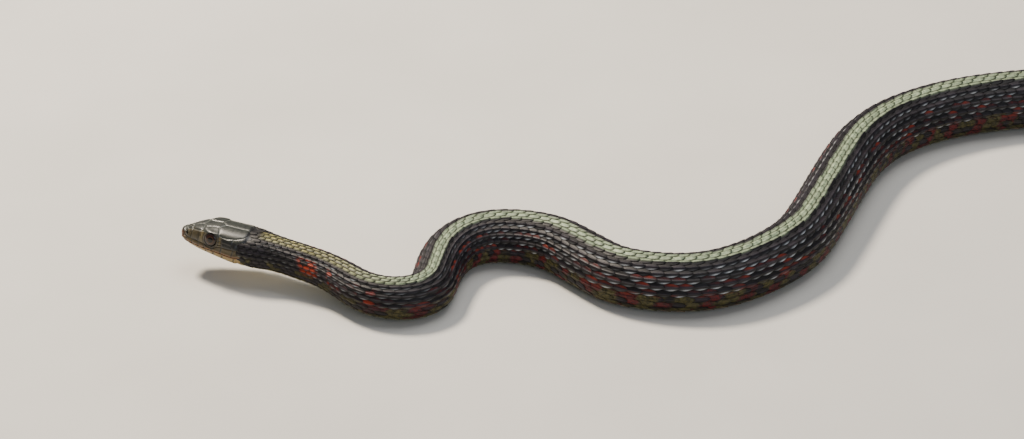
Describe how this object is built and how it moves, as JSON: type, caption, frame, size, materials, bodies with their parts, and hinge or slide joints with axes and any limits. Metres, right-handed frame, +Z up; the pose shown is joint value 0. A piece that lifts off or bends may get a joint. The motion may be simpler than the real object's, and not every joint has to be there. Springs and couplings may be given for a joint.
{
  "type": "garter snake",
  "caption": "Life-size garter snake lying in open S-bends, head held just off the floor, with a plated head, banded belly scutes and a long tapering tail.",
  "frame": {"origin": "on the floor, under the middle of the animal's box", "axes": "+X from head to tail along the length, +Y to the far side seen from the picture, +Z up from the floor"},
  "size_m": [0.5286, 0.117, 0.0157],
  "materials": {
    "crown_skin": "smooth horny plates, slight sheen",
    "lip_skin": "smooth horny plates, slight sheen",
    "body_skin": "keeled dry scales, satin",
    "eye": "wet gloss"
  },
  "bodies": {
    "root": {"head": "crown_skin", "lower_jaw": "lip_skin", "eye_left": "eye", "eye_right": "eye", "neck": "body_skin", "torso_1": "body_skin", "torso_2": "body_skin", "torso_3": "body_skin", "torso_4": "body_skin", "torso_5": "body_skin", "torso_6": "body_skin", "torso_7": "body_skin", "torso_8": "body_skin", "tail_base": "body_skin", "tail_middle": "body_skin", "tail_tip": "body_skin"}
  },
  "joints": []
}
